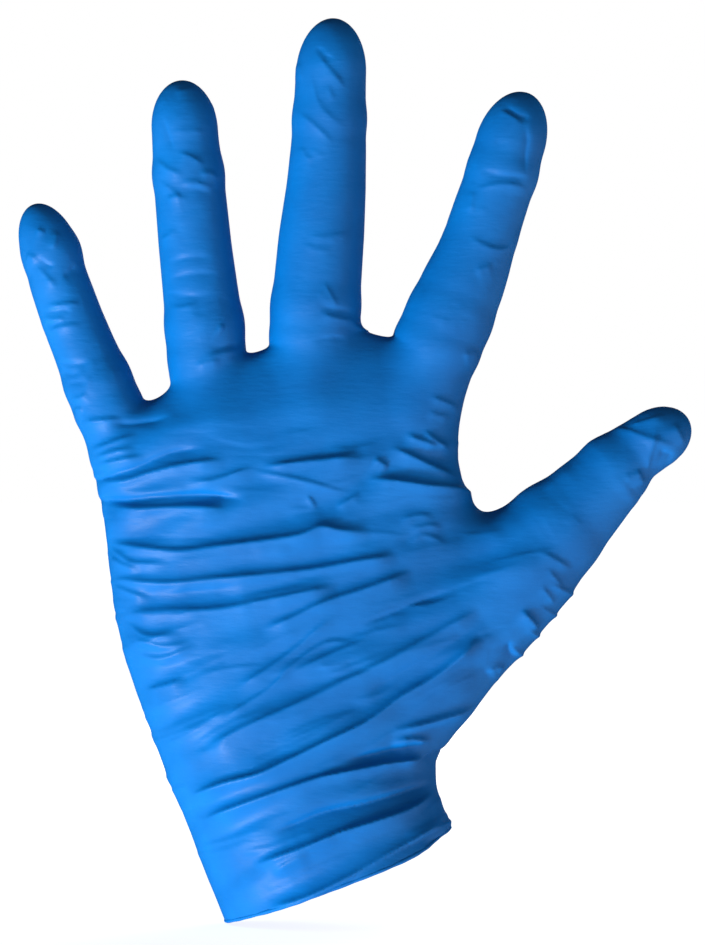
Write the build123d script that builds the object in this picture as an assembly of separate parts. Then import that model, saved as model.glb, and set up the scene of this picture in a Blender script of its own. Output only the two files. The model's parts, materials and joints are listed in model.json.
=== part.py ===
from build123d import *
import os
from dataclasses import dataclass
from math import cos, radians, sin, tan

# A thin dipped glove for a left hand, upright as it is worn: +Z along the middle finger,
# +X towards the thumb, the back of the hand facing -Y, millimetres. The origin is the
# centre of the hand opening. One continuous film, divided where it folds over the joints
# of the hand, and the rolled bead round its opening.

# Film and bead. Below the rim the film runs on, and is cut there
FILM = 0.12
BEAD_RADIUS = 0.6
RIM_OVERRUN = 6.0

# Hand, across the outside of the film. Heights are above the opening
CUFF_BREADTH = 62.0
CUFF_DEPTH = 44.0
WRIST_BREADTH = 66.0
WRIST_DEPTH = 40.0
WRIST_HEIGHT = 25.0
HEEL_BREADTH = 81.0
HEEL_DEPTH = 34.0
HEEL_HEIGHT = 46.0
PALM_BREADTH = 92.0
PALM_DEPTH = 29.0
PALM_HEIGHT = 104.0
KNUCKLE_DEPTH = 28.0
KNUCKLE_BAND = 10.5
WEB_DEPTH = 6.0
WEB_RISE = 31.5
WEB_HEIGHT = PALM_HEIGHT + WEB_RISE

# Halfway up, the hand is a little narrower and thicker than at the palm
MID_NARROWING = 2.0
MID_THICKENING = 1.0

# From the knuckles to the webs the outline rounds in, at these shares of the rise
CROWN_SHARES = (0.32, 0.57, 0.79, 0.93)
CROWN_CURVE = 2.2
CROWN_FULLNESS = 0.8

# Sideways lean of each cross-section, in degrees from upright, and its middle along X
RIM_LEAN = -22.0
WRIST_LEAN = -12.0
HEEL_LEAN = -4.0
WRIST_MIDDLE = -8.0
HEEL_MIDDLE = -10.0
PALM_MIDDLE = -15.0
WEB_MIDDLE = -2.0

# Digits
ROUNDNESS = 0.88
ROOT_LENGTH = 24.0
ROOT_TAPER = 0.88
TIP_DOME = 9.0
DOME_ANGLES = (68, 48, 30, 14)
THUMB_FORWARD = 3.0

# How far each fold closes, in degrees. Its axis lies under the skin of the closing side
WRIST_BEND = 45.0
ROOT_CURL = 70.0
MIDDLE_CURL = 82.0
END_CURL = 52.0
THUMB_ROOT_CURL = 45.0
THUMB_END_CURL = 60.0
STRETCH_BACK = 10.0
AXIS_DEPTH = 0.4
FOLD_CLEARANCE = 0.6
THUMB_ROLL = 50.0

# Size of the cutting blocks, which reach past the whole glove, and how far they pass a digit
BLOCK = 2 * (PALM_BREADTH + WEB_HEIGHT)
SIDE_CLEARANCE = 2.0


@dataclass
class Digit:
    """A finger or the thumb, from the fold at its root to its tip.

    root is the root fold's place: its share of half the palm's breadth from the palm's
    middle, and its height over the webs. lengths run from fold to fold, and from the last fold
    to the tip, and leans are their directions, in degrees from upright towards the thumb.
    widths are those at the folds and behind the tip's dome, and curls are how far the
    folds close. ball is the swelling below the root fold: (distance, width) from it. y is
    how far the digit stands towards the palm side, and roll turns its nail outwards.
    """

    name: str
    root: tuple
    leans: tuple
    lengths: tuple
    widths: tuple
    curls: tuple
    ball: tuple
    y: float = 0.0
    roll: float = 0.0

    def folds(self):
        """The (x, z) of each fold, and of the tip at the end."""
        share, rise = self.root
        points = [(PALM_MIDDLE + share * PALM_BREADTH / 2, WEB_HEIGHT + rise)]
        for lean, length in zip(self.leans, self.lengths):
            x, z = points[-1]
            points.append((x + length * sin(radians(lean)), z + length * cos(radians(lean))))
        return points

    def half_fold(self, number):
        """Half the length of film that a fold needs, so that the firm lengths never meet."""
        under_skin = self.widths[number] * ROUNDNESS * AXIS_DEPTH
        return under_skin * tan(radians(self.curls[number] / 2)) + FOLD_CLEARANCE


FINGER_CURLS = (ROOT_CURL, MIDDLE_CURL, END_CURL)


def finger(name, root, lean, lengths, widths):
    ball = ((ROOT_LENGTH, widths[0] * ROOT_TAPER),)
    return Digit(name, root, (lean,) * 3, lengths, widths, FINGER_CURLS, ball)


DIGITS = [
    finger("little", (-0.9565, -12.0), -20.5, (19.5, 14.0, 14.0), (16.8, 15.4, 14.8, 13.8)),
    finger("ring", (-0.3891, 1.7), -5.0, (18.4, 19.5, 24.0), (20.0, 18.5, 17.8, 16.2)),
    finger("middle", (0.2196, 6.5), 3.4, (19.0, 28.0, 25.6), (22.0, 21.2, 17.8, 16.2)),
    finger("index", (0.9326, 4.2), 18.6, (20.4, 18.0, 20.8), (21.3, 18.8, 17.5, 16.0)),
    Digit(
        name="thumb",
        root=(1.5217, -50.0),
        leans=(43.0, 57.5),
        lengths=(21.0, 23.1),
        widths=(24.6, 17.8, 15.6),
        curls=(THUMB_ROOT_CURL, THUMB_END_CURL),
        ball=((66.0, 20.0), (45.0, 31.0), (26.0, 32.0), (11.0, 30.0)),
        y=THUMB_FORWARD,
        roll=THUMB_ROLL,
    ),
]


def upward(lean):
    return Vector(sin(radians(lean)), 0, cos(radians(lean)))


def sideways(lean):
    return Vector(cos(radians(lean)), 0, -sin(radians(lean)))


def across(x, z, lean, y=0.0):
    """The plane square to an axis that leans, with its own X towards the thumb."""
    return Plane(origin=(x, y, z), x_dir=sideways(lean), z_dir=upward(lean))


def oval(plane, breadth, depth, inset):
    return plane * Ellipse(breadth / 2 - inset, depth / 2 - inset)


def palm_solid(inset):
    """The hand without its digits, from a little below the rim to the webs."""
    below = upward(RIM_LEAN) * -RIM_OVERRUN
    mid_x = (HEEL_MIDDLE + PALM_MIDDLE) / 2
    mid_height = (HEEL_HEIGHT + PALM_HEIGHT) / 2
    sections = [
        (below.X, below.Z, RIM_LEAN, CUFF_BREADTH, CUFF_DEPTH),
        (0, 0, RIM_LEAN, CUFF_BREADTH, CUFF_DEPTH),
        (WRIST_MIDDLE, WRIST_HEIGHT, WRIST_LEAN, WRIST_BREADTH, WRIST_DEPTH),
        (HEEL_MIDDLE, HEEL_HEIGHT, HEEL_LEAN, HEEL_BREADTH, HEEL_DEPTH),
        (mid_x, mid_height, 0, PALM_BREADTH - MID_NARROWING, PALM_DEPTH + MID_THICKENING),
        (PALM_MIDDLE, PALM_HEIGHT - KNUCKLE_BAND, 0, PALM_BREADTH, PALM_DEPTH),
        (PALM_MIDDLE, PALM_HEIGHT, 0, PALM_BREADTH, KNUCKLE_DEPTH),
    ]
    for share in CROWN_SHARES:
        span = (1 - share**CROWN_CURVE) ** CROWN_FULLNESS
        x = PALM_MIDDLE + (WEB_MIDDLE - PALM_MIDDLE) * share
        depth = WEB_DEPTH + (KNUCKLE_DEPTH - WEB_DEPTH) * span
        sections.append((x, PALM_HEIGHT + WEB_RISE * share, 0, PALM_BREADTH * span, depth))
    ovals = [oval(across(x, z, lean), b, d, inset) for x, z, lean, b, d in sections]
    return loft(ovals + [Vertex(WEB_MIDDLE, 0, WEB_HEIGHT - inset)], ruled=True)


def digit_solid(digit, inset):
    """A digit with its root sunk in the palm and a domed tip."""
    sections = []
    points = digit.folds()
    x, z = points[0]
    for distance, width in digit.ball:
        down = upward(digit.leans[0]) * -distance
        sections.append((x + down.X, z + down.Z, digit.leans[0], width))
    for number, (px, pz) in enumerate(points[:-1]):
        lean = (digit.leans[number] + digit.leans[max(number - 1, 0)]) / 2
        sections.append((px, pz, lean, digit.widths[number]))
    tip_lean, width = digit.leans[-1], digit.widths[-1]
    x, z = points[-1]
    for angle in (90,) + DOME_ANGLES:
        down = upward(tip_lean) * -(TIP_DOME * (1 - cos(radians(angle))) + inset)
        breadth = (width - 2 * inset) * sin(radians(angle)) + 2 * inset
        sections.append((x + down.X, z + down.Z, tip_lean, breadth))
    ovals = [oval(across(sx, sz, lean, digit.y), b, b * ROUNDNESS, inset) for sx, sz, lean, b in sections]
    end = upward(tip_lean) * -inset
    return loft(ovals + [Vertex(x + end.X, digit.y, z + end.Z)], ruled=True)


def whole_solid(inset):
    whole = palm_solid(inset)
    for digit in DIGITS:
        whole += digit_solid(digit, inset)
    return whole


def above(x, z, lean, y=0.0, breadth=BLOCK):
    """Everything beyond the plane square to a leaning axis, as a block."""
    block = Box(breadth, BLOCK, BLOCK, align=(Align.CENTER, Align.CENTER, Align.MIN))
    return across(x, z, lean, y) * block


def fold_planes(digit):
    """The planes that bound each fold's film, as (x, z, lean), from the root upwards."""
    planes = []
    for number, (x, z) in enumerate(digit.folds()[:-1]):
        half = digit.half_fold(number)
        for lean, step in ((digit.leans[max(number - 1, 0)], -half), (digit.leans[number], half)):
            planes.append((x + upward(lean).X * step, z + upward(lean).Z * step, lean))
    return planes


def section_names(digit):
    """Names of a digit's lengths of film, in the order of its planes."""
    folds = ("root_fold", "knuckle_fold", "end_fold")
    lengths = ("base", "shaft", "tip")
    if len(digit.lengths) == 2:
        folds, lengths = (folds[0], folds[2]), (lengths[0], lengths[2])
    pairs = zip(folds, lengths)
    return [f"{digit.name}_{section}" for pair in pairs for section in pair]


def digit_sections(digit):
    """A digit's film, cut square to its axis on both sides of every fold."""
    film = digit_solid(digit, 0) - digit_solid(digit, FILM)
    planes = fold_planes(digit)
    sections = {}
    for number, name in enumerate(section_names(digit)):
        section = film & above(*planes[number], digit.y)
        if number + 1 < len(planes):
            section -= above(*planes[number + 1], digit.y)
        sections[name] = section
    return sections


def wrist_planes():
    """The planes below and above the wrist's fold, as (x, z, lean)."""
    half = WRIST_DEPTH / 2 * tan(radians(WRIST_BEND / 2)) + FOLD_CLEARANCE
    step = upward(WRIST_LEAN) * half
    return [(WRIST_MIDDLE + step.X * side, WRIST_HEIGHT + step.Z * side, WRIST_LEAN) for side in (-1, 1)]


def rim_bead():
    """The film rolled up on itself round the hand opening."""
    rim = across(0, 0, RIM_LEAN)
    path = Wire(rim * Edge.make_ellipse(CUFF_BREADTH / 2 - FILM / 2, CUFF_DEPTH / 2 - FILM / 2))
    start = Plane(origin=path @ 0, z_dir=path % 0)
    return sweep(start * Circle(BEAD_RADIUS), path=path)


def hand_sections():
    """The film of the hand from the bead to the roots of its digits."""
    film = whole_solid(0) - whole_solid(FILM)
    lower, upper = [above(*plane) for plane in wrist_planes()]
    bead = rim_bead()
    hand = film & upper
    for digit in DIGITS:
        breadth = digit.widths[0] + 2 * SIDE_CLEARANCE
        hand -= above(*fold_planes(digit)[0], digit.y, breadth)
    return {
        "rim_bead": bead,
        "cuff": (film & above(0, 0, RIM_LEAN)) - lower - bead,
        "wrist_fold": (film & lower) - upper,
        "hand": hand,
    }


def all_sections():
    sections = hand_sections()
    for digit in DIGITS:
        sections.update(digit_sections(digit))
    return sections


def fold_axis(digit, number):
    """A point on a fold's axis, and its direction: a positive turn closes the digit."""
    x, z = digit.folds()[number]
    lean = (digit.leans[number] + digit.leans[max(number - 1, 0)]) / 2
    roll = radians(digit.roll)
    closing = Vector(0, cos(roll), 0) - sideways(lean) * sin(roll)
    under_skin = digit.widths[number] * ROUNDNESS * (0.5 - AXIS_DEPTH)
    return Vector(x, digit.y, z) + closing * under_skin, upward(lean).cross(closing)


def wrist_axis():
    """The same for the wrist, which bends both ways about its middle."""
    return Vector(WRIST_MIDDLE, 0, WRIST_HEIGHT), sideways(WRIST_LEAN) * -1


def print_axes():
    print("wrist", *wrist_axis(), "bends", WRIST_BEND, "both ways")
    for digit in DIGITS:
        for number, curl in enumerate(digit.curls):
            print(digit.name, number, *fold_axis(digit, number), "closes", curl)


def main():
    print_axes()
    os.makedirs("parts", exist_ok=True)
    for name, section in all_sections().items():
        section.label = name
        export_step(section, f"parts/{name}.step")


if __name__ == "__main__":
    main()
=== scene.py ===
"""A thin dipped glove as it is worn on a left hand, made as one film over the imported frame.

Lengths in this script are millimetres in the row frame (+Z along the fingers, +X towards
the thumb, the back of the hand facing -Y), and become metres when a mesh is made.
"""
import json
from math import pi, radians

import bpy
import numpy as np
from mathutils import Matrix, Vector

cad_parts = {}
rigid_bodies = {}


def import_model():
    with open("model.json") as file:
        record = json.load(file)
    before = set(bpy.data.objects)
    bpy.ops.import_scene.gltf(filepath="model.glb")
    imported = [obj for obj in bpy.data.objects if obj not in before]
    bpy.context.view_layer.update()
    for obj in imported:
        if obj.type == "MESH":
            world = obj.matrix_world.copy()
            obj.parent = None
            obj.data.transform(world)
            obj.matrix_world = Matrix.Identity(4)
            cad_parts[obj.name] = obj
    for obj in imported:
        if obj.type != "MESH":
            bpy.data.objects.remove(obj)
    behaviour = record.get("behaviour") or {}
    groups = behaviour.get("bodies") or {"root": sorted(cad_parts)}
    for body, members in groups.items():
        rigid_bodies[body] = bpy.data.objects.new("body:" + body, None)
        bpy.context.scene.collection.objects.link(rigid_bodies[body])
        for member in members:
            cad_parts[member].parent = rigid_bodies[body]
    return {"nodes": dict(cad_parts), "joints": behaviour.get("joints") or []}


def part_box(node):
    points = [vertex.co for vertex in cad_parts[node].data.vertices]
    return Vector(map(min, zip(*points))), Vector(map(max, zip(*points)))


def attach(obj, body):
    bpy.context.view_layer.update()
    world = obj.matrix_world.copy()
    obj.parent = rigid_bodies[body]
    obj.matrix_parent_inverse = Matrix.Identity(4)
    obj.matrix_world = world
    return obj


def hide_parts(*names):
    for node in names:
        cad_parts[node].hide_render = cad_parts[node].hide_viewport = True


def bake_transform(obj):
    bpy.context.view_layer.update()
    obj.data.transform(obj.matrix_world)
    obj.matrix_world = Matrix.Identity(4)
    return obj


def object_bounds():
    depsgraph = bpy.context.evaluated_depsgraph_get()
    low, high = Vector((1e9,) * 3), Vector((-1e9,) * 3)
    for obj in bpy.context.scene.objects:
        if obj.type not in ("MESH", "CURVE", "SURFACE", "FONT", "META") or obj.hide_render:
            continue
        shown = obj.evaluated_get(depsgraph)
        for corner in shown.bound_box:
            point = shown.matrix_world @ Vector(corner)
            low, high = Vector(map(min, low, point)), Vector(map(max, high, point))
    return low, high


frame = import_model()
CAD_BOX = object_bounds()
JOINTS = {joint["name"]: joint for joint in frame["joints"]}
MM = 0.001
SEED = 11

# Mesh: grid of the plain skin, its room round the frame's box, and how far inside the outer
# skin the hidden inner one runs. Quads whose normal's Y is below FINE_LIMIT are split in four
GRID_STEP = 1.0
GRID_MARGIN = 4.0
FINE_LIMIT = 0.25
INNER_OFFSET = 0.42
BEAD_RADIUS = 0.5
BEAD_SIDES = 10

# ---------------------------------------------------------------- sizes of the hand inside
# Outline seen from the back: (height, left edge, right edge)
HAND_OUTLINE = [
    (-22, -23.2, 42), (-12, -27.3, 37), (0, -32.2, 32), (11, -36.3, 29), (22, -41, 25.2),
    (29, -43.5, 24.8), (35, -45.5, 28), (45, -49.5, 31.5), (56, -53, 33), (67, -55.2, 33),
    (79, -56.5, 33), (87, -57.5, 34), (93, -58.8, 34), (98, -59.6, 32), (104, -60.5, 30.6),
    (112, -59, 30.8), (116.5, -49, 31), (123, -37, 31), (129, -25, 27), (133, -10, 17),
    (135.5, 0, 8),
]
# Thickness from back to palm, and squareness of the level sections (2 is an ellipse)
HAND_DEPTH = [
    (-22, 44), (0, 44), (12, 43), (25, 40), (45, 34.5), (67, 31.5), (88, 29), (104, 27), (116, 23.5),
    (124, 19), (130, 14), (135.5, 7),
]
HAND_SQUARENESS = [(-22, 2.0), (25, 2.0), (60, 2.35), (135.5, 2.3)]
RIM_BULGE = 3.2
RIM_EVENNESS = 0.25
RIM_REACH = 22.0

# Digits. Stations along a digit are measured from its root fold: widths and sideways sway
# there, then the length from the last fold to the tip, and the length of the tip's dome
DIGITS = {
    "little": {
        "folds": ("root", "knuckle", "end"),
        "widths": [(-26, 14), (-8, 18), (0, 16.8), (9, 15.7), (19, 15.3), (34, 14.5), (48, 13.9)],
        "sway": [(-12, 0), (0, -0.4), (17, -0.9), (27, -0.7), (34, 0), (48, 0.2)],
        "tip": 13.4,
        "dome": 13.0,
    },
    "ring": {
        "folds": ("root", "knuckle", "end"),
        "widths": [
            (-26, 17), (-8, 20), (0, 19.5), (9, 18.8), (18, 18.3), (37, 17.6), (46, 16.7), (62, 16.2),
        ],
        "sway": [(-12, 0.1), (0, 0.3), (20, -0.3), (46, -0.45), (62, 0)],
        "tip": 23.6,
        "dome": 12.5,
    },
    "middle": {
        "folds": ("root", "knuckle", "end"),
        "widths": [(-26, 18), (-8, 22.5), (0, 22.1), (18, 21.3), (32, 19.6), (47, 18.1), (73, 16.9)],
        "sway": [(-12, 0), (0, 0.1), (16, 0.45), (30, 0.95), (40, 0.95), (56, 0.5), (72, 0.2)],
        "tip": 25.1,
        "dome": 14.0,
    },
    "index": {
        "folds": ("root", "knuckle", "end"),
        "widths": [(-26, 18), (-8, 22.8), (0, 21.6), (9, 20.8), (20, 18.4), (38, 17.6), (61, 17)],
        "sway": [(-20, 0), (-6, 0.2), (0, 0.8), (15, 1.8), (38, 1.8), (46, 1.4), (61, 0.8)],
        "tip": 20.8,
        "dome": 13.5,
    },
    "thumb": {
        "folds": ("root", "end"),
        "widths": [
            (-66, 20), (-45, 29), (-26, 31), (-11, 29.5), (0, 25), (10, 21.6), (21, 18.6),
            (28, 15.4), (44, 14.3),
        ],
        "sway": [
            (-66, 0), (-46, 0), (-30, -0.8), (-12, -0.8), (0, -0.3), (10, 0.4), (21, 0.7), (28, -0.6),
            (36, -0.7), (44, -0.2),
        ],
        "tip": 23.2,
        "dome": 10.0,
    },
}
THUMB_TIP_LEAN = 57.5
ROUNDNESS = 0.88
SKIN_DEPTH_SHARE = 0.1
DISTANCE_SCALE = 0.94
SEGMENT_BLEND = 1.5
WEB_BLEND = 4.4
THUMB_BLEND = 10.0


# ---------------------------------------------------------------- numbers
def smoothstep(low, high, x):
    t = np.clip((x - low) / (high - low), 0, 1)
    return t * t * (3 - 2 * t)


def smooth_min(a, b, reach):
    share = np.clip(0.5 + 0.5 * (b - a) / reach, 0, 1)
    return b + (a - b) * share - reach * share * (1 - share)


def unit(vector):
    vector = np.asarray(vector, float)
    return vector / np.linalg.norm(vector)


def rounded_profile(stations, column=1, softness=5.0, step=0.25):
    """A lookup of one column of stations against the first, with its corners rounded."""
    table = np.array(stations, float)
    x = np.arange(table[0, 0], table[-1, 0] + step, step)
    y = np.interp(x, table[:, 0], table[:, column])
    reach = int(softness / step / 2)
    kernel = np.hanning(2 * reach + 3)
    padded = np.concatenate([2 * y[0] - y[reach + 1:0:-1], y, 2 * y[-1] - y[-2:-reach - 3:-1]])
    y = np.convolve(padded, kernel / kernel.sum(), "valid")
    return lambda at: np.interp(at, x, y)


# ---------------------------------------------------------------- the hand's shape
class Fold:
    """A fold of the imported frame: its axis, its place along the digit, and where its film ends."""

    def __init__(self, joint_name, node_name):
        joint = JOINTS[joint_name]
        self.parent, self.child = joint["parent"], joint["child"]
        axis = np.array(joint["axis"])
        self.along = unit((axis[2], 0, -axis[0]))
        self.closing = np.cross(axis, self.along)
        self.pivot = np.array(joint["pos_m"]) / MM
        mesh = frame["nodes"][node_name].data
        corners = np.empty(len(mesh.vertices) * 3, np.float32)
        mesh.vertices.foreach_get("co", corners)
        reach = corners.reshape(-1, 3) / MM @ self.along
        self.low, self.high = reach.min(), reach.max()

    def point(self, height):
        """The point on the fold's line that is this far along it, in metres."""
        return Vector((self.pivot + self.along * (height - self.pivot @ self.along)) * MM)


class Digit:
    """A digit's centre line, from its root in the palm through its folds to its tip."""

    def __init__(self, name, folds, widths, sway, tip, dome):
        self.name, self.dome = name, dome
        self.width = rounded_profile(widths)
        self.sway = rounded_profile(sway)
        self.folds = [Fold(f"{name}_{fold}_curl", f"{name}_{fold}_fold") for fold in folds]
        first, last = self.folds[0], self.folds[-1]
        under = SKIN_DEPTH_SHARE * ROUNDNESS * np.array([self.width(0), self.width(30)])
        first = first.pivot - first.closing * under[0]
        last = last.pivot - last.closing * under[1]
        root_way = unit((last - first) * (1, 0, 1))
        tip_way = root_way
        if name == "thumb":
            tip_way = np.array([np.sin(radians(THUMB_TIP_LEAN)), 0, np.cos(radians(THUMB_TIP_LEAN))])
        self.points = [first + root_way * widths[0][0], first, last, last + tip_way * tip]
        lengths = [np.linalg.norm(b - a) for a, b in zip(self.points, self.points[1:])]
        self.marks = np.concatenate([[widths[0][0]], widths[0][0] + np.cumsum(lengths)])

    def distance(self, p):
        found = None
        for number, (a, b) in enumerate(zip(self.points, self.points[1:])):
            dome = self.dome if number == len(self.points) - 2 else 0
            along = unit(b - a)
            side = np.array([along[2], 0, -along[0]])
            offset = p - a
            t = offset @ along
            held = np.clip(t, 0, np.linalg.norm(b - a) - dome)
            half = self.width(self.marks[number] + held) / 2
            ends = (t - held) / np.where((t > held) & (dome > 0), max(dome, 1), half)
            across = (offset @ side - self.sway(self.marks[number] + held)) / half
            deep = offset[:, 1] / (half * ROUNDNESS)
            level = (np.sqrt(across**2 + deep**2 + ends**2) - 1) * half * DISTANCE_SCALE
            found = level if found is None else smooth_min(found, level, SEGMENT_BLEND)
        return found


class Hand:
    """The hand without its digits, as level ovals up to the webs."""

    def __init__(self):
        self.low, self.high = HAND_OUTLINE[0][0], HAND_OUTLINE[-1][0]
        self.left = rounded_profile(HAND_OUTLINE, 1)
        self.right = rounded_profile(HAND_OUTLINE, 2)
        self.depth = rounded_profile(HAND_DEPTH, 1, 10)
        self.power = rounded_profile(HAND_SQUARENESS, 1, 10)

    def distance(self, p):
        z = np.clip(p[:, 2], self.low, self.high)
        half = (self.right(z) - self.left(z)) / 2
        deep = self.depth(z) / 2
        n = self.power(z)
        x = np.abs(p[:, 0] - (self.right(z) + self.left(z)) / 2) / half
        y = np.abs(p[:, 1]) / deep
        radius = np.maximum((x**n + y**n) ** (1 / n), 1e-3)
        slope = np.hypot((x / radius) ** (n - 1) / half, (y / radius) ** (n - 1) / deep)
        return np.maximum((radius - 1) / np.maximum(slope, 0.02), p[:, 2] - self.high)


HAND = Hand()
ALL_DIGITS = [Digit(name, **values) for name, values in DIGITS.items()]
WRIST = Fold("wrist_bend", "wrist_fold")


def glove_distance(p):
    """Roughly how far points are outside the film."""
    found = HAND.distance(p)
    for digit in ALL_DIGITS:
        found = smooth_min(found, digit.distance(p), THUMB_BLEND if digit.name == "thumb" else WEB_BLEND)
    return found


def glove_gradient(p, step=0.15):
    """The outward normal and the slope of glove_distance."""
    rows = []
    for axis in range(3):
        shift = np.zeros(3)
        shift[axis] = step
        rows.append((glove_distance(p + shift) - glove_distance(p - shift)) / (2 * step))
    gradient = np.stack(rows, 1)
    slope = np.linalg.norm(gradient, axis=1)
    return gradient / slope[:, None], slope


def project(p, rounds=3):
    """Moves points onto the glove's plain skin, and gives its normals there."""
    for _ in range(rounds):
        normal, slope = glove_gradient(p)
        p = p - normal * (glove_distance(p) / np.maximum(slope, 0.4))[:, None]
    return p, glove_gradient(p)[0]


# ---------------------------------------------------------------- plain skin as quads
RIM_BEAD_BOX = [np.array(corner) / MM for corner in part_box("rim_bead")]


def rim_plane():
    """The middle and the upward normal of the hand opening, from its bead's box."""
    low, high = RIM_BEAD_BOX
    across = unit((high[0] - low[0], 0, high[2] - low[2]))
    return (low + high) / 2, np.array([-across[2], 0, across[0]])


RIM_MIDDLE, RIM_UP = rim_plane()


def surface_net(low, high, step):
    """Quads round the glove's surface, with one vertex in each grid cell that it crosses."""
    axes = [np.arange(a, b + step, step) for a, b in zip(low, high)]
    inside = np.empty([len(axis) for axis in axes], bool)
    for number, x in enumerate(axes[0]):
        slab = np.stack(np.meshgrid([x], axes[1], axes[2], indexing="ij"), -1).reshape(-1, 3)
        inside[number] = (glove_distance(slab) < 0).reshape(inside.shape[1:])
    corners = sum(
        inside[i:i - 1 or None, j:j - 1 or None, k:k - 1 or None].astype(int)
        for i in (0, 1) for j in (0, 1) for k in (0, 1)
    )
    crossed = (corners > 0) & (corners < 8)
    number = np.full(crossed.shape, -1)
    number[crossed] = np.arange(crossed.sum())
    points = np.argwhere(crossed) * step + np.array([axis[0] for axis in axes]) + step / 2
    quads = []
    for a in range(3):
        b, c = (a + 1) % 3, (a + 2) % 3
        before = np.take(inside, range(inside.shape[a] - 1), a)
        after = np.take(inside, range(1, inside.shape[a]), a)
        for hit, order in ((before & ~after, 1), (~before & after, -1)):
            cells = np.argwhere(hit)
            cells = cells[(cells[:, b] > 0) & (cells[:, c] > 0)]
            around = []
            for in_b, in_c in ((-1, -1), (0, -1), (0, 0), (-1, 0))[::order]:
                cell = cells.copy()
                cell[:, b] += in_b
                cell[:, c] += in_c
                around.append(number[tuple(np.minimum(cell, np.array(crossed.shape) - 1).T)])
            quads.append(np.stack(around, 1))
    quads = np.concatenate(quads)
    return points, quads[(quads >= 0).all(1)]


def edges_of(quads):
    return np.concatenate([quads[:, [i, (i + 1) % 4]] for i in range(4)])


def relaxed(points, quads, rounds=3, share=0.6):
    """Evens out the quads along the surface."""
    ends = edges_of(quads)
    ends = np.concatenate([ends, ends[:, ::-1]])
    count = np.bincount(ends[:, 0], minlength=len(points))[:, None]
    for _ in range(rounds):
        sums = [np.bincount(ends[:, 0], points[ends[:, 1], i], len(points)) for i in range(3)]
        total = np.stack(sums, 1)
        points = points + (total / count - points) * share
        points = project(points, 1)[0]
    return points


def cut_at_rim(points, quads):
    """Leaves out what is below the hand opening, and ends the rest on its plane."""
    height = (points - RIM_MIDDLE) @ RIM_UP
    quads = quads[(height[quads] > 0).any(1)]
    used, quads = np.unique(quads, return_inverse=True)
    quads = quads.reshape(-1, 4)
    points, height = points[used], height[used]
    at_rim = height <= 0
    points = points - RIM_UP * np.where(at_rim, height, 0)[:, None]
    return points, quads, at_rim


def refined(points, quads, chosen):
    """Splits the chosen quads in four. Gives the points, faces, each face's source quad, and
    the new point in the middle of each split edge."""
    ends = np.unique(np.sort(edges_of(quads[chosen]), 1), axis=0)
    middles = {tuple(edge): len(points) + i for i, edge in enumerate(ends.tolist())}
    centres = len(points) + len(ends) + np.cumsum(chosen) - 1
    points = np.concatenate([points, points[ends].mean(1), points[quads[chosen]].mean(1)])
    faces, source = [], []
    for number, quad in enumerate(quads.tolist()):
        pairs = [(quad[i], quad[(i + 1) % 4]) for i in range(4)]
        halfway = [middles.get((min(pair), max(pair))) for pair in pairs]
        if chosen[number]:
            for i in range(4):
                faces.append((quad[i], halfway[i], int(centres[number]), halfway[i - 1]))
                source.append(number)
        else:
            ring = [point for i in range(4) for point in (quad[i], halfway[i]) if point is not None]
            faces.append(tuple(ring))
            source.append(number)
    return points, faces, np.array(source), middles


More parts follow.
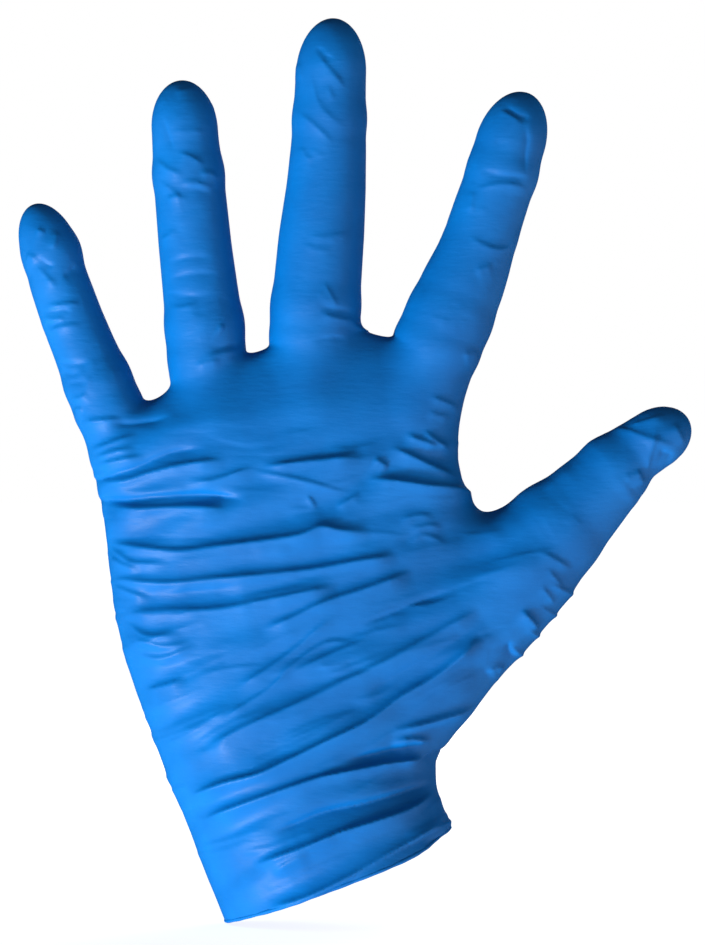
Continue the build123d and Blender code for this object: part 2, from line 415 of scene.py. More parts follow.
# ---------------------------------------------------------------- folds in the film
# A line of a fold runs through given (x, z) points. Groups are (height, width, lines),
# where a height below zero is a groove
BACK_FOLDS = [
    (2.1, 1.2, [
        [(-20.5, 3), (-14.5, 5.5), (-6.5, 8.5), (1, 11.5), (9, 14), (18, 17), (25, 21)],
        [
            (-36, 20), (-27.5, 23.5), (-18.5, 26), (-12, 29), (-3, 33.5), (7, 38.5), (16, 45),
            (26, 51), (36, 60),
        ],
        [
            (-32.5, 14.5), (-26.5, 17), (-18.5, 20), (-11.5, 22.5), (-4, 25), (3, 26.5),
            (13, 28.5), (25, 30),
        ],
    ]),
    (1.7, 1.1, [
        [(-17, -7.5), (-6.5, -4), (3, 0.5), (13, 6), (19.5, 9.5), (27, 14)],
        [(13.5, 36), (22.5, 38.5), (36.5, 43)],
    ]),
    (-1.3, 1.0, [
        [(-16, 11), (-8.5, 14.5), (-2, 17), (8, 19), (18, 21.5), (25, 23.5)],
        [(-17, -9), (-8.5, -6.5), (1, -1.5), (8, 3), (15.5, 7), (25.5, 11.5), (28, 14)],
        [(2, 29), (13, 31.5), (25, 33.5)],
        [(-58, 93.5), (-52, 93.5), (-42.5, 94.5), (-31.5, 95), (-21.5, 93.5)],
    ]),
    (1.5, 1.8, [
        [(-32.5, 31.5), (-24, 36.5), (-14, 41), (-5.5, 45), (7, 51), (19.5, 57.5), (36, 66.5)],
        [(-54, 65), (-42.5, 66), (-30, 66.5), (-21, 68), (-8.5, 70.5), (1, 72.5)],
    ]),
    (-0.9, 2.2, [
        [(7, 45.5), (19.5, 52.5), (36.5, 62.5)],
        [(-50, 70), (-38, 70.5), (-22, 72)],
    ]),
    (1.45, 1.35, [
        [(-59.5, 98), (-52, 98.5), (-45.5, 100.5), (-36.5, 102.5), (-26.5, 103.5)],
        [(-19, 101.5), (-8.5, 103), (1, 104), (7, 105.5)],
        [(-57.5, 92.5), (-48, 91.5), (-35.5, 92), (-26, 91.5)],
        [
            (-57, 83), (-49, 82), (-39.5, 81), (-30, 82), (-18, 83.5), (-8.5, 85), (-3.5, 87),
            (2, 86), (9.5, 86),
        ],
        [(-55.5, 74), (-42.5, 73), (-30, 74), (-18, 75), (-5.5, 76.5), (6, 78.5), (16, 80)],
        [(-18.5, 61.5), (-11.5, 64), (-2, 68.5), (7, 71.5), (19.5, 76)],
        [(13, 107), (19.5, 104), (26, 101), (31.5, 98.5)],
        [(7, 98.5), (13.5, 98.5), (22.5, 97), (31, 96), (36.5, 93.5)],
        [(46, 66.5), (48.5, 64), (51, 61)],
        [(13.5, 33), (18.5, 34.5), (24.5, 33.5)],
    ]),
    (0.8, 0.95, [
        [(-37.5, 98), (-30, 98.5), (-22.5, 101), (-19, 101.5)],
        [(-15.5, 1.5), (-11.5, 4), (-6, 7)],
        [(-52.5, 63.5), (-45.5, 60), (-36.5, 60.5)],
        [(-50.5, 60), (-42.5, 57.5), (-34.5, 58.5)],
        [(-50, 55.5), (-42.5, 54.5), (-33.5, 58)],
        [(-48, 46), (-42.5, 47.5), (-36.5, 49.5)],
        [(-61.5, 105.5), (-55, 108), (-49, 110)],
        [(-60.5, 103.5), (-55, 105.5), (-49, 106.5)],
        [(-60, 102), (-53, 103.5), (-46.5, 104.5)],
        [(-57, 82.5), (-53, 80), (-49, 78), (-40.5, 78)],
        [(-56.5, 80), (-52, 77.5), (-47.5, 76)],
        [(-55.5, 72.5), (-50, 70.5), (-45.5, 69)],
        [(9.5, 104), (13.5, 101.5)],
        [(17, 110), (26, 106.5)],
        [(21.5, 111), (29, 105.5)],
        [(-25, 47), (-18, 51), (-9.5, 57), (-5.5, 60.5), (0, 65)],
        [(37.5, 50.5), (40.5, 52), (43, 51.5)],
        [(-63.5, 113), (-57.5, 113.5), (-52.5, 113.5)],
    ]),
    (0.55, 0.6, [
        [(-21.5, 101), (-10.5, 99), (1, 96), (4, 96)],
        [(-29, 38.5), (-21.5, 43.5), (-15.5, 47.5), (-11.5, 52), (-7, 55.5), (-1.5, 58.5), (6, 58.5)],
        [(-11.5, 50.5), (-5.5, 53.5), (1, 56.5), (6, 58.5), (9, 61)],
        [(-7, 95), (-4.5, 91.5)],
        [(0, 91.5), (6.5, 95.5)],
    ]),
    (-0.8, 1.0, [
        [(-60, 98.5), (-55, 100), (-50, 101.5), (-40.5, 105.5), (-31.5, 106.5)],
        [(6.5, 62.5), (13.5, 65.5), (22.5, 69), (29, 71.5)],
        [(43, 59), (44, 55.5), (45.5, 54)],
        [(-57.5, 112.5), (-50, 113), (-40, 114.5)],
    ]),
    (0.6, 1.1, [
        [(68, 110.5), (72, 111), (76.5, 109.5), (81.5, 108), (86, 106.5)],
        [(72.5, 111.5), (79, 113.5), (83.5, 115)],
        [(84.5, 113), (86, 110), (87.5, 107)],
        [(80.5, 112.5), (80, 109.5), (78.5, 104.5), (77.5, 99)],
        [(75, 101.5), (76.5, 98.5), (77, 97)],
    ]),
    (-0.5, 0.9, [[(80.5, 106), (85, 104.5)]]),
    (0.4, 0.75, [
        [(15.5, 88), (20, 89.8), (25, 89.3)],
        [(18, 86), (23.5, 87.3), (27, 86.5)],
        [(17.5, 83), (22.5, 84.8), (28, 82.5)],
        [(50, 81), (54.5, 79), (59.5, 76)],
        [(52.5, 76.5), (55.5, 73.5), (57, 71.5)],
        [(51, 72.5), (53.5, 69.5), (55, 67)],
    ]),
    (0.6, 0.75, [
        [(43, 57.5), (47.3, 54.6), (51.5, 51.5)],
        [(47, 62), (51.5, 59.3), (56, 56)],
        [(50, 67.5), (54.8, 65), (60, 62)],
        [(53, 73), (58.5, 70.5), (63.5, 68)],
        [(22, 10.5), (29, 13.5), (35, 15)],
    ]),
    (-0.9, 0.75, [
        [(-68, 97.5), (-60, 98.6), (-53, 100)],
        [(-66, 92.5), (-58.5, 93.4), (-51, 93.8)],
        [(17, 28.5), (25.5, 30.5), (34, 32.5)],
        [(21, 8), (29.5, 11), (36, 13)],
    ]),
    (0.35, 1.4, [[(52, 95.5), (56, 99), (59.5, 102.5)]]),
]
LITTLE_FOLDS = [
    (-0.36, 0.75, [
        [(-74.5, 154.5), (-72, 152.5), (-69.5, 151.5)],
        [(-68, 149), (-66, 150.5), (-64.5, 152.5)],
        [(-72, 140.5), (-67.5, 141), (-65, 140)],
        [(-73, 138), (-70, 137.5), (-67.5, 138.5)],
        [(-69.5, 128), (-65, 127.5), (-60.5, 128)],
        [(-68.5, 126), (-66, 125), (-63, 125.5)],
        [(-67.5, 122.5), (-63.5, 123), (-61, 123)],
    ]),
    (0.4, 0.7, [
        [(-69, 161), (-69.5, 158), (-70.5, 155.5)],
        [(-74.5, 161), (-72, 160)],
        [(-77, 155), (-74, 153.5)],
        [(-74.5, 152), (-71.5, 149), (-69, 146)],
        [(-72.5, 142), (-69, 142), (-65, 142.5), (-63, 141.5)],
        [(-73, 139.5), (-70.5, 138.5), (-67, 139)],
        [(-72, 135), (-69, 136.5), (-65, 137), (-62.5, 136.5)],
        [(-66, 119), (-63.5, 119), (-61.5, 120.5)],
        [(-65, 116.5), (-62.5, 116)],
    ]),
]
RING_FOLDS = [
    (-0.34, 0.9, [
        [(-43.5, 190), (-41.5, 184.5), (-40, 180)],
        [(-39, 171), (-34.5, 171), (-30, 169.5)],
        [(-42, 152.5), (-36, 154), (-30, 154)],
        [(-42.5, 148), (-38, 149.5), (-33.5, 150), (-28.5, 150)],
        [(-42.5, 145.5), (-38, 144.5), (-33.5, 144.5), (-29.5, 145.5)],
        [(-31.5, 131), (-27, 132), (-22, 132.5)],
    ]),
    (0.38, 0.85, [
        [(-39.5, 180), (-36, 179), (-32, 176.5)],
        [(-45, 179), (-41.5, 176), (-37, 174)],
        [(-34, 174.5), (-31, 175), (-28.5, 173)],
        [(-39, 172.5), (-34.5, 172.5), (-30, 171)],
        [(-44.5, 173), (-41.5, 171.5), (-38.5, 169), (-36, 168)],
        [(-42, 168.5), (-38, 169.5)],
        [(-42, 142), (-38, 141.5), (-33.5, 142.5)],
        [(-29, 137), (-27.5, 136)],
        [(-34, 128.5), (-28.5, 130), (-22.5, 131.5)],
        [(-35, 127), (-31, 128), (-28, 128)],
    ]),
    (0.25, 0.9, [
        [(-41, 185.5), (-36, 185.5), (-31.5, 185.5)],
        [(-40.5, 195), (-36.5, 196), (-34, 196.5)],
        [(-44, 158), (-39, 161)],
    ]),
]
MIDDLE_FOLDS = [
    (0.42, 0.85, [
        [(-10, 191), (-7, 188.5), (-3.5, 185.5), (0, 181.5)],
        [(-4.5, 140.5), (-0.5, 139), (6, 138)],
        [(-5, 205.5), (-2, 201.5), (0.5, 198.5), (3, 195.5)],
    ]),
    (0.26, 0.8, [
        [(-6, 200.5), (-5, 195.5), (-3.5, 191.5), (0, 188), (3.5, 186)],
        [(-2, 197), (0, 192.5)],
        [(-8.5, 182), (-7, 179), (-5, 178)],
        [(-9, 203), (-8, 198)],
        [(-3, 148), (-1, 144.5), (1, 141)],
    ]),
    (-0.3, 0.8, [
        [(-5, 207), (-2.5, 204.5), (0, 203)],
        [(-6, 133), (-1.5, 134), (3.5, 134)],
        [(-5, 142.5), (-0.5, 141.2), (6, 140.2)],
    ]),
    (0.2, 0.8, [
        [(-7.5, 160), (-3.5, 159), (4, 160)],
        [(-8.5, 158), (-5, 156), (0, 155.5)],
    ]),
]
INDEX_FOLDS = [
    (-0.42, 0.9, [
        [(47, 187.5), (48, 183.5), (47.5, 178.5), (47.5, 174)],
        [(42, 192.5), (45.5, 189.5), (49.5, 188.5)],
        [(35.5, 176), (40.5, 174.5), (45, 174), (49.5, 173.5)],
    ]),
    (0.42, 0.85, [
        [(40.5, 191), (45, 188.5), (47, 186.5)],
        [(34.5, 170.5), (39.5, 172), (44.5, 172), (49, 170.5)],
        [(33, 159.5), (37, 157), (40.5, 156), (43.5, 157), (46, 163)],
        [(23, 119.5), (28.5, 117.5), (31.5, 115.5)],
    ]),
    (0.3, 0.9, [
        [(34.5, 171), (34, 164.5)],
        [(34.5, 150.5), (39.5, 152)],
        [(31.5, 129.5), (36, 130.5)],
        [(22.5, 115.5), (26.5, 114.5), (29, 114)],
    ]),
]
DIGIT_FOLDS = LITTLE_FOLDS + RING_FOLDS + MIDDLE_FOLDS + INDEX_FOLDS
# The side that closes: creases of the palm, and the cuff's folds as they come round
PALM_FOLDS = [
    (-0.9, 1.9, [
        [(26, 108), (14, 99), (-4, 90), (-26, 86)],
        [(-56, 104), (-36, 108), (-14, 116), (-4, 122)],
        [(24, 100), (8, 90), (-4, 72), (-10, 48)],
    ]),
    (0.8, 1.5, [
        [(-34, 4), (-20, 8), (-2, 9), (12, 14), (26, 22)],
        [(-37, 16), (-22, 17), (-8, 22), (8, 25), (22, 27)],
        [(-40, 27), (-26, 31), (-10, 31), (6, 35), (20, 40)],
        [(-44, 41), (-30, 40), (-16, 44), (-2, 50)],
        [(4, 55), (18, 56), (30, 62)],
    ]),
]
# Short wrinkles strewn over a side, as (side, lowest, highest, how many, longest, height)
STREWN = [
    (-1, -8, 34, 34, 24, 0.34),
    (-1, 34, 72, 60, 26, 0.3),
    (-1, 72, 112, 44, 24, 0.24),
    (-1, 112, 215, 70, 8, 0.1),
    (1, -8, 36, 90, 15, 0.42),
    (1, 36, 76, 90, 14, 0.32),
    (1, 76, 118, 70, 12, 0.24),
    (1, 118, 215, 110, 7, 0.2),
]
# A fold's profile, in its widths: roundness of its crest, reach above and below its line, and
# where it is lost. It fades over FOLD_END of its length, or the share of a short one
FOLD_CREST = 0.25
FOLD_ABOVE, FOLD_BELOW = 0.6, 1.8
FOLD_FAR = 5.0
FOLD_END, FOLD_END_SHARE = 7.0, 0.34
JOINT_CREASES = 4
KNUCKLES = [(-29, 113), (-6, 119), (20, 114)]
KNUCKLE_HEIGHT, KNUCKLE_SPREAD = 0.7, 7.5
# Swells of the hand: how many, their lengths and their direction, in degrees from +X
WAVE_COUNT = 14
WAVE_LENGTHS = (7, 20)
WAVE_TURN, WAVE_TURN_SPREAD = 112, 0.22
WAVE_HEIGHT = 0.09
WAVES_ON_DIGITS = 0.12


def curve_through(points, spacing=1.0):
    """Evenly spaced points of a smooth curve through given ones (Catmull-Rom)."""
    knots = np.array([points[0], *points, points[-1]], float)
    samples = []
    for a, b, c, d in zip(knots, knots[1:], knots[2:], knots[3:]):
        count = max(int(np.ceil(np.linalg.norm(c - b) / spacing)), 1)
        t = np.arange(count)[:, None] / count
        bend = 2 * b + (c - a) * t + (2 * a - 5 * b + 4 * c - d) * t**2 + (3 * b - a - 3 * c + d) * t**3
        samples.append(bend / 2)
    return np.concatenate(samples + [knots[-1:]])


def fold_height(flat, height, width, line):
    """How far a fold lifts the film at flat (x, z) points. It fades towards both its ends."""
    line = curve_through(line)
    lifted = np.zeros(len(flat))
    far = FOLD_FAR * width
    near = np.nonzero(((flat > line.min(0) - far) & (flat < line.max(0) + far)).all(1))[0]
    if len(near) == 0:
        return lifted
    starts, steps = line[:-1], np.diff(line, axis=0)
    squares = (steps**2).sum(1)
    runs = np.concatenate([[0], np.cumsum(np.sqrt(squares))])
    offset = flat[near][:, None] - starts
    t = np.clip((offset * steps).sum(2) / squares, 0, 1)
    gap = np.linalg.norm(offset - t[..., None] * steps, axis=2)
    best = gap.argmin(1)
    rows = np.arange(len(near))
    share = (runs[best] + t[rows, best] * np.sqrt(squares[best])) / runs[-1]
    cross = steps[best, 0] * offset[rows, best, 1] - steps[best, 1] * offset[rows, best, 0]
    reach = np.where(cross > 0, FOLD_ABOVE, FOLD_BELOW) * width
    profile = np.exp(FOLD_CREST - np.hypot(gap[rows, best] / reach, FOLD_CREST))
    ending = min(FOLD_END_SHARE, FOLD_END / runs[-1])
    fade = smoothstep(0, ending, share) * smoothstep(0, ending, 1 - share)
    lifted[near] = height * profile * fade
    return lifted


def drag_slope(x, z):
    """The slope of the wrinkles on the hand: level at the knuckles, steep above the cuff."""
    return np.interp(z, [0, 20, 40, 60, 80, 100], [0.42, 0.45, 0.5, 0.3, 0.12, 0.04]) + 0.002 * x


def strewn_line(rng, side, low, high, longest):
    """A short wrinkle on the hand, or across one of the digits."""
    z = rng.uniform(low, high)
    if low < 112:
        x = rng.uniform(HAND.left(z) - 1, HAND.right(z) + (14 if 55 < z < 95 else 1))
        slope = drag_slope(x, z) * (1 if side < 0 else -0.6) + rng.normal(0, 0.07)
    else:
        digit = ALL_DIGITS[rng.integers(len(ALL_DIGITS))]
        share = rng.choice([0.0, 0.45, 0.8]) + rng.normal(0, 0.09)
        start, stop = digit.points[1], digit.points[-1]
        x, _, z = start + (stop - start) * np.clip(share, 0, 0.95) + rng.normal(0, 2.5, 3)
        slope = -(stop - start)[0] / (stop - start)[2] + rng.normal(0, 0.35)
    way = unit((1, slope)) * rng.uniform(0.35, 1) * longest / 2
    bow = rng.normal(0, 0.03) * longest
    return [(x - way[0], z - way[1]), (x, z + bow), (x + way[0], z + way[1])]


def strewn_folds(side):
    """(height, width, line) of a side's short wrinkles, the same each run."""
    rng = np.random.default_rng(SEED + side)
    folds = []
    for own_side, low, high, count, longest, height in STREWN:
        if own_side != side:
            continue
        for _ in range(count):
            line = strewn_line(rng, side, low, high, longest)
            sign = 1 if rng.random() < 0.7 else -0.7
            folds.append((sign * height * rng.uniform(0.4, 1.2), rng.uniform(0.6, 1.1), line))
    return folds


def joint_creases():
    """Creases across each fold of the digits, on the side that closes."""
    rng = np.random.default_rng(SEED + 5)
    folds = []
    for digit in ALL_DIGITS:
        for fold in digit.folds:
            side = np.array([fold.along[2], -fold.along[0]])
            for place in np.linspace(-0.7, 0.7, JOINT_CREASES):
                middle = fold.pivot + fold.along * place * (fold.high - fold.low) / 2
                half = side * digit.width(15) * rng.uniform(0.35, 0.5)
                lean = side[::-1] * (1, -1) * rng.normal(0, 1.2)
                middle = middle[[0, 2]]
                line = [middle - half - lean, middle + rng.normal(0, 0.4, 2), middle + half + lean]
                folds.append((rng.uniform(-0.6, -0.35), rng.uniform(0.8, 1.3), line))
    return folds


def waves(points):
    """Broad soft swells along the way the film is dragged. The digits hold it smooth."""
    rng = np.random.default_rng(SEED + 9)
    total = np.zeros(len(points))
    for _ in range(WAVE_COUNT):
        length = rng.uniform(*WAVE_LENGTHS)
        turn = rng.normal(radians(WAVE_TURN), WAVE_TURN_SPREAD)
        phase = points[:, 0] * np.cos(turn) + points[:, 2] * np.sin(turn) + 0.4 * points[:, 1]
        total += np.sin(2 * pi * phase / length + rng.uniform(0, 2 * pi)) * WAVE_HEIGHT
    hand_share = smoothstep(122, 92, points[:, 2]) * smoothstep(62, 38, points[:, 0])
    return total * (WAVES_ON_DIGITS + (1 - WAVES_ON_DIGITS) * hand_share)


def film_height(points, normals):
    """How far the film stands off the plain skin: folds, wrinkles, swells and knuckles."""
    flat = points[:, [0, 2]]
    back = smoothstep(0.4, -0.2, normals[:, 1])
    palm = smoothstep(-0.4, 0.2, normals[:, 1])
    total = waves(points) * np.abs(normals[:, 1])
    for height, width, lines in BACK_FOLDS + DIGIT_FOLDS:
        for line in lines:
            total += fold_height(flat, height, width, line) * back
    for height, width, line in strewn_folds(-1):
        total += fold_height(flat, height, width, line) * back
    for height, width, lines in PALM_FOLDS:
        for line in lines:
            total += fold_height(flat, height, width, line) * palm
    for height, width, line in strewn_folds(1) + joint_creases():
        total += fold_height(flat, height, width, line) * palm
    for x, z in KNUCKLES:
        away = np.hypot(flat[:, 0] - x, flat[:, 1] - z) / KNUCKLE_SPREAD
        total += KNUCKLE_HEIGHT * np.exp(-(away**2)) * back
    return total


def sagged(points):
    """Lets the rim hang a little lower, most of all towards the thumb's side."""
    height = (points - RIM_MIDDLE) @ RIM_UP
    half = (RIM_BEAD_BOX[1][0] - RIM_BEAD_BOX[0][0]) / 2
    across = np.clip((points[:, 0] - RIM_MIDDLE[0]) / half, -1, 1)
    share = (1 - across**4) * (RIM_EVENNESS + (1 - RIM_EVENNESS) * (1 + across) / 2)
    drop = RIM_BULGE * share * smoothstep(RIM_REACH, 0, height)
    return points - RIM_UP * drop[:, None]


# ---------------------------------------------------------------- pieces of film
# How far past a digit's side its root piece may take film
ROOT_MARGIN = 9


def piece_names(centres):
    """The piece that each face belongs to, by its centre. Cuts lie between the folds."""
    names = np.full(len(centres), "glove_hand", object)
    names[centres @ WRIST.along < WRIST.high + GRID_STEP] = "glove_wrist"
    for digit in ALL_DIGITS:
        root = digit.folds[0]
        side = np.array([root.along[2], 0, -root.along[0]])
        beyond = centres @ root.along > root.low - GRID_STEP
        beside = np.abs((centres - root.pivot) @ side) < digit.width(0) / 2 + ROOT_MARGIN
        nearest = np.argmin([each.distance(centres) for each in ALL_DIGITS], 0)
        mine = beyond & beside & (nearest == ALL_DIGITS.index(digit))
        names[mine] = f"glove_{digit.name}_root"
        for below, fold, label in zip(digit.folds, digit.folds[1:], DIGITS[digit.name]["folds"][1:]):
            border = (below.high + fold.low) / 2
            names[mine & (centres @ fold.along > border)] = f"glove_{digit.name}_{label}"
    return names


def mesh_object(name, points, faces, normals=None):
    mesh = bpy.data.meshes.new(name)
    mesh.from_pydata(points * MM, [], faces)
    mesh.polygons.foreach_set("use_smooth", [True] * len(mesh.polygons))
    if normals is not None:
        mesh.normals_split_custom_set_from_vertices(normals)
    mesh.materials.append(NITRILE)
    piece = bpy.data.objects.new(name, mesh)
    bpy.context.scene.collection.objects.link(piece)
    return piece


def open_edges(faces):
    """Directed edges that only one face has."""
    pairs = [(face[i - 1], face[i]) for face in faces for i in range(len(face))]
    known = set(pairs)
    return [pair for pair in pairs if pair[::-1] not in known]


def closed_film(name, outer_faces, inner_quads, middles, outer, inner, normals):
    """One piece of film: its outer and inner skin, joined round its edges."""
    shift = len(outer)
    faces = list(outer_faces)
    faces += [tuple(point + shift for point in quad[::-1]) for quad in inner_quads]
    for a, b in open_edges(inner_quads):
        m = middles.get((min(a, b), max(a, b)))
        if m is None:
            faces.append((b, a, a + shift, b + shift))
        else:
            faces += [(m, a, a + shift), (b, m, b + shift), (m, a + shift, b + shift)]
    used = sorted({point for face in faces for point in face})
    place = {point: i for i, point in enumerate(used)}
    points = np.concatenate([outer, inner])[used]
    ways = np.concatenate([normals, -normals[:len(inner)]])[used]
    return mesh_object(name, points, [tuple(place[point] for point in face) for face in faces], ways)


def mesh_normals(points, faces):
    """Normals of the whole film at its points, before it is parted."""
    mesh = bpy.data.meshes.new("whole")
    mesh.from_pydata(points, [], faces)
    normals = np.empty(len(points) * 3, np.float32)
    mesh.vertex_normals.foreach_get("vector", normals)
    bpy.data.meshes.remove(mesh)
    return normals.reshape(-1, 3)


def ordered_loop(pairs):
    """Points of a closed loop in order, from its directed edges."""
    after = dict(pairs)
    start = point = pairs[0][0]
    loop = []
    while True:
        loop.append(point)
        point = after[point]
        if point == start:
            return loop


def bead_tube(points):
    """The rolled film of the rim, as a tube along a closed loop of points."""
    for _ in range(2):
        points = (np.roll(points, 1, 0) + 2 * points + np.roll(points, -1, 0)) / 4
    tangents = np.roll(points, -1, 0) - np.roll(points, 1, 0)
    tangents /= np.linalg.norm(tangents, axis=1)[:, None]
    out = np.cross(tangents, RIM_UP)
    out /= np.linalg.norm(out, axis=1)[:, None]
    up = np.cross(out, tangents)
    rng = np.random.default_rng(SEED + 3)
    turns = np.arange(len(points)) * 2 * pi / len(points)
    swell = sum(np.sin(turns * n + rng.uniform(0, 2 * pi)) for n in (5, 9, 17, 31)) * 0.06
    radius = (BEAD_RADIUS * (1 + swell))[:, None]
    angles = np.arange(BEAD_SIDES) * 2 * pi / BEAD_SIDES
    rings = [points + radius * (out * np.cos(a) + up * np.sin(a)) for a in angles]
    count = len(points)
    faces = []
    for side in range(BEAD_SIDES):
        other = (side + 1) % BEAD_SIDES
        for i in range(count):
            j = (i + 1) % count
            faces.append((side * count + i, other * count + i, other * count + j, side * count + j))
    return np.concatenate(rings), faces


def make_glove():
    low, high = [np.array(corner) / MM for corner in CAD_BOX]
    points, quads = surface_net(low - GRID_MARGIN, high + GRID_MARGIN, GRID_STEP)
    points = relaxed(points, quads)
    points, quads, at_rim = cut_at_rim(points, quads)
    count = len(points)
    normals = glove_gradient(points)[0]
    chosen = normals[quads][:, :, 1].mean(1) < FINE_LIMIT
    points, faces, source, middles = refined(points, quads, chosen)
    held = np.zeros(len(points), bool)
    held[:count] = at_rim
    for (a, b), middle in middles.items():
        held[middle] = at_rim[a] and at_rim[b]
    plain, normals = project(points)
    plain[held] -= ((plain[held] - RIM_MIDDLE) @ RIM_UP)[:, None] * RIM_UP
    plain = sagged(plain)
    height = film_height(plain, normals)
    outer = plain + normals * height[:, None]
    lowest = height.copy()
    ends = np.array([(face[i - 1], face[i]) for face in faces for i in range(len(face))])
    for _ in range(2):
        np.minimum.at(lowest, ends[:, 0], lowest[ends[:, 1]])
        np.minimum.at(lowest, ends[:, 1], lowest[ends[:, 0]])
    inner = (plain + normals * (lowest - INNER_OFFSET)[:, None])[:count]
    shading = mesh_normals(outer, faces)
    names = piece_names(plain[:count][quads].mean(1))
    film = {}
    for name in sorted(set(names)):
        own = names == name
        own_faces = [faces[i] for i in np.nonzero(own[source])[0]]
        film[name] = closed_film(name, own_faces, quads[own].tolist(), middles, outer, inner, shading)
    pairs = open_edges(quads.tolist())
    loop = ordered_loop(pairs)
    film["glove_bead"] = mesh_object("glove_bead", *bead_tube((outer[loop] + inner[loop]) / 2))
    return film


# ---------------------------------------------------------------- material, light and camera
def linear(red, green, blue):
    """A colour given as it looks on a screen, 0 to 255."""
    channels = [value / 255 for value in (red, green, blue)]
    return (*[c / 12.92 if c <= 0.04045 else ((c + 0.055) / 1.055) ** 2.4 for c in channels], 1)


class Nodes:
    """Short calls for building a material's nodes."""

    def __init__(self, material):
        material.use_nodes = True
        self.tree = material.node_tree
        self.tree.nodes.clear()

    def add(self, kind, **inputs):
        node = self.tree.nodes.new(kind)
        for name, value in inputs.items():
            self.set(node, name.replace("_", " "), value)
        return node

    def set(self, node, name, value):
        if isinstance(value, bpy.types.NodeSocket):
            self.tree.links.new(value, node.inputs[name])
        else:
            node.inputs[name].default_value = value

    def noise(self, vector, scale, detail, roughness=0.55):
        settings = {"Scale": scale, "Detail": detail, "Roughness": roughness}
        return self.add("ShaderNodeTexNoise", Vector=vector, **settings)

    def ranged(self, value, low, high):
        node = self.add("ShaderNodeMapRange", Value=value, To_Min=low, To_Max=high)
        return node.outputs["Result"]

    def bump(self, height, strength, distance, normal=None):
        node = self.add("ShaderNodeBump", Height=height, Strength=strength, Distance=distance)
        if normal is not None:
            self.tree.links.new(normal, node.inputs["Normal"])
        return node.outputs["Normal"]


def nitrile_material():
    """Satin blue film: cloudy colour, a fine grain, and hair-thin stretch wrinkles."""
    material = bpy.data.materials.new("nitrile_film")
    nodes = Nodes(material)
    place = nodes.add("ShaderNodeTexCoord").outputs["Object"]
    stretch = nodes.add("ShaderNodeMapping", Vector=place, Scale=(0.35, 0.6, 1.5))
    nodes.set(stretch, "Rotation", (0, radians(-18), 0))
    clouds = nodes.noise(place, 60, 4).outputs["Fac"]
    grain = nodes.noise(place, 2600, 3, 0.6).outputs["Fac"]
    hairs = nodes.noise(stretch.outputs["Vector"], 620, 4, 0.5).outputs["Fac"]
    ramp = nodes.add("ShaderNodeValToRGB", Fac=clouds)
    ramp.color_ramp.elements[0].position = 0.3
    ramp.color_ramp.elements[0].color = linear(0, 94, 168)
    ramp.color_ramp.elements[1].position = 0.72
    ramp.color_ramp.elements[1].color = linear(0, 107, 186)
    normal = nodes.bump(hairs, 0.35, 0.00022)
    normal = nodes.bump(grain, 0.3, 0.00006, normal)
    shader = nodes.add("ShaderNodeBsdfPrincipled")
    nodes.set(shader, "Base Color", ramp.outputs["Color"])
    nodes.set(shader, "Roughness", nodes.ranged(grain, 0.38, 0.5))
    nodes.set(shader, "Normal", normal)
    shader.inputs["Specular IOR Level"].default_value = 0.38
    output = nodes.add("ShaderNodeOutputMaterial")
    nodes.tree.links.new(shader.outputs["BSDF"], output.inputs["Surface"])
    return material


def glowing_floor_material():
    material = bpy.data.materials.new("pale_floor")
    nodes = Nodes(material)
    place = nodes.add("ShaderNodeTexCoord").outputs["Object"]
    speckle = nodes.noise(place, 40, 3).outputs["Fac"]
    shader = nodes.add("ShaderNodeBsdfPrincipled")
    shader.inputs["Base Color"].default_value = (0.88, 0.88, 0.88, 1)
    nodes.set(shader, "Roughness", nodes.ranged(speckle, 0.75, 0.95))
    # Painted light: the floor glows by its own emission, brighter farther from the middle, and this glow
    # lights the glove from below
    shader.inputs["Emission Color"].default_value = (1, 1, 1, 1)
    away = nodes.add("ShaderNodeVectorMath", Vector=place)
    away.operation = "LENGTH"
    glow = nodes.add("ShaderNodeMapRange", Value=away.outputs["Value"], From_Max=FLOOR_FADE)
    nodes.set(glow, "To Min", FLOOR_GLOW)
    nodes.set(shader, "Emission Strength", glow.outputs["Result"])
    output = nodes.add("ShaderNodeOutputMaterial")
    nodes.tree.links.new(shader.outputs["BSDF"], output.inputs["Surface"])
    return material


# Distance of the camera, the height of the picture at the glove, and its middle, in metres
CAMERA_DISTANCE = 1.5
PICTURE_HEIGHT = 0.23625
PICTURE_MIDDLE = Vector((0.0044, 0, 0.1004))
SENSOR = 36
FLOOR_GAP = 0.0004
# The floor's painted glow: its emission near the middle, rising to full at FLOOR_FADE metres out
FLOOR_GLOW = 0.86
FLOOR_FADE = 3.0
AMBIENT = 0.13
FLOOR_SIZE = 40
# Soft lights, as (name, place, size, watts, whether it shows in reflections). The key and the
# sheen come from below the floor, which lets them through as a light table does
LIGHT_TARGET = (0, 0, 0.1)
LIGHTS = [
    ("key", (-0.9, -0.63, -0.56), 0.2, 21, False),
    ("sheen", (-0.75, -1.0, -0.65), 0.22, 8, True),
    ("fill", (-0.2, -1.3, 0.2), 0.8, 0.4, False),
    ("rear", (0.5, 1.2, 0.5), 0.8, 7, False),
]


def make_camera():
    camera = bpy.data.objects.new("camera", bpy.data.cameras.new("camera"))
    camera.data.sensor_width = SENSOR
    camera.data.lens = SENSOR * CAMERA_DISTANCE / PICTURE_HEIGHT
    camera.location = PICTURE_MIDDLE - Vector((0, CAMERA_DISTANCE, 0))
    camera.rotation_euler = (radians(90), 0, 0)
    bpy.context.scene.collection.objects.link(camera)
    bpy.context.scene.camera = camera


def area_light(name, place, size, watts, glossy):
    data = bpy.data.lights.new(name, "AREA")
    data.shape = "DISK"
    data.size = size
    data.energy = watts
    light = bpy.data.objects.new(name, data)
    light.location = place
    light.visible_glossy = glossy
    way = Vector(LIGHT_TARGET) - Vector(place)
    light.rotation_euler = way.to_track_quat("-Z", "Y").to_euler()
    bpy.context.scene.collection.objects.link(light)


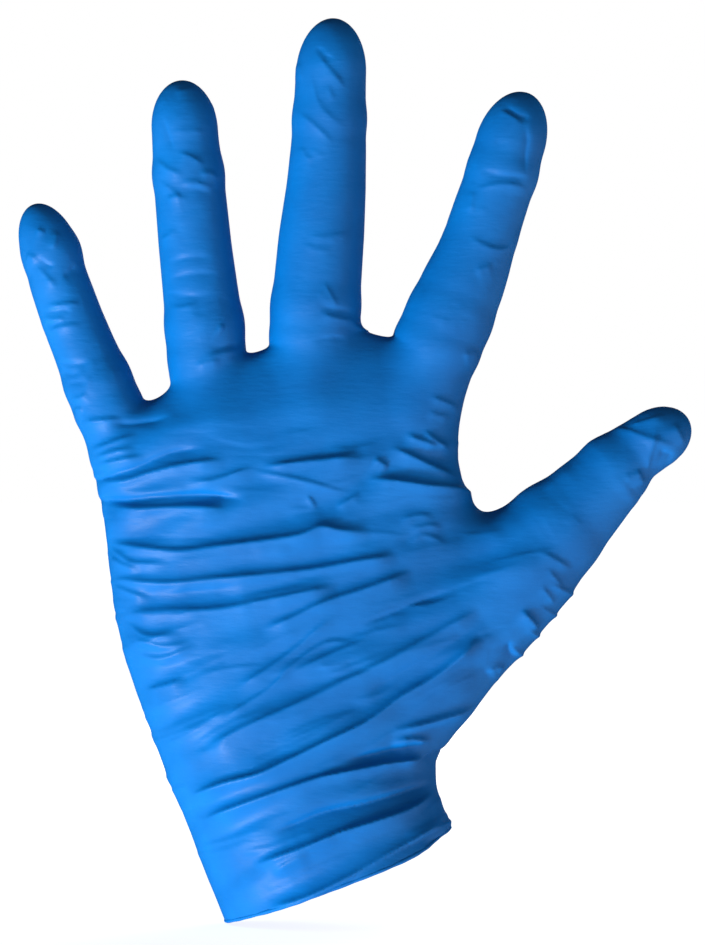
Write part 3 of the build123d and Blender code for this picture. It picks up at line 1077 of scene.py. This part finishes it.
def make_world():
    """A white surround, which lights the glove far less than it shows."""
    world = bpy.data.worlds.new("studio")
    world.use_nodes = True
    nodes = world.node_tree.nodes
    links = world.node_tree.links
    dim = nodes["Background"]
    dim.inputs["Color"].default_value = (1, 1, 1, 1)
    dim.inputs["Strength"].default_value = AMBIENT
    shown = nodes.new("ShaderNodeBackground")
    shown.inputs["Color"].default_value = (1, 1, 1, 1)
    mix = nodes.new("ShaderNodeMixShader")
    links.new(nodes.new("ShaderNodeLightPath").outputs["Is Camera Ray"], mix.inputs["Fac"])
    links.new(dim.outputs["Background"], mix.inputs[1])
    links.new(shown.outputs["Background"], mix.inputs[2])
    links.new(mix.outputs["Shader"], nodes["World Output"].inputs["Surface"])
    world.cycles_visibility.glossy = False
    bpy.context.scene.world = world


def make_floor(height):
    half = FLOOR_SIZE / 2
    corners = [(x * half, y * half, height) for x, y in ((-1, -1), (1, -1), (1, 1), (-1, 1))]
    mesh = bpy.data.meshes.new("floor")
    mesh.from_pydata(corners, [], [(0, 1, 2, 3)])
    mesh.materials.append(glowing_floor_material())
    floor = bpy.data.objects.new("floor", mesh)
    floor.visible_shadow = False  # so that the lights below it reach the glove
    floor.visible_glossy = False
    bpy.context.scene.collection.objects.link(floor)


bpy.context.scene.view_settings.view_transform = "Standard"
make_camera()
make_world()
for light in LIGHTS:
    area_light(*light)

NITRILE = nitrile_material()
GLOVE = make_glove()

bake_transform(GLOVE["glove_wrist"])
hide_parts("cuff", "wrist_fold")
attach(GLOVE["glove_hand"], "hand")
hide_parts("hand")
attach(GLOVE["glove_bead"], "cuff")
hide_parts("rim_bead")

LENGTH_AFTER = {"root": "base", "knuckle": "shaft", "end": "tip"}
for digit in ALL_DIGITS:
    for fold, label in zip(digit.folds, DIGITS[digit.name]["folds"]):
        film = GLOVE[f"glove_{digit.name}_{label}"]
        fold.point(fold.low)
        fold.point(fold.high)
        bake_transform(film)
        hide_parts(f"{digit.name}_{label}_fold", f"{digit.name}_{LENGTH_AFTER[label]}")

VISUAL_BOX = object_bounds()
make_floor(VISUAL_BOX[0][2] - FLOOR_GAP)
